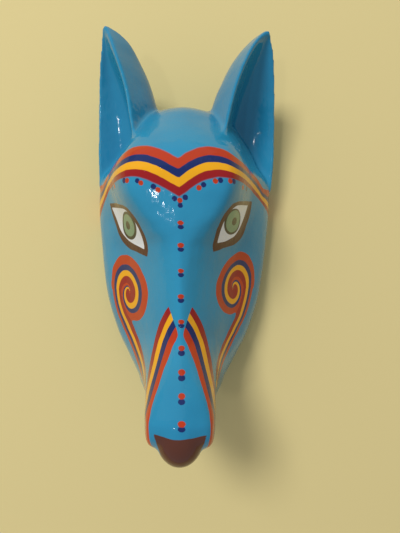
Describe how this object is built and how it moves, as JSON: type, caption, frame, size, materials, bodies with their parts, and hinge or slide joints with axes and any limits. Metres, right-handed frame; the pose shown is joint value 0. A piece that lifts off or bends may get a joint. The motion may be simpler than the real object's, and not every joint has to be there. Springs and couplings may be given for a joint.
{
  "type": "coyote mask",
  "caption": "Carved wooden animal mask with long snout and upright ears, painted in gloss enamel, hollow behind with a flat rim.",
  "frame": {"origin": "middle of the mask's outline, in the plane of its back rim", "axes": "+Z out of the face, from the rim to the nose; +Y from the snout to the ears; +X across the face"},
  "size_m": [0.174, 0.347, 0.1755],
  "materials": {
    "painted_wood": "gloss enamel paint over carved wood"
  },
  "bodies": {
    "root": {"coyote_mask": "painted_wood"}
  },
  "joints": []
}
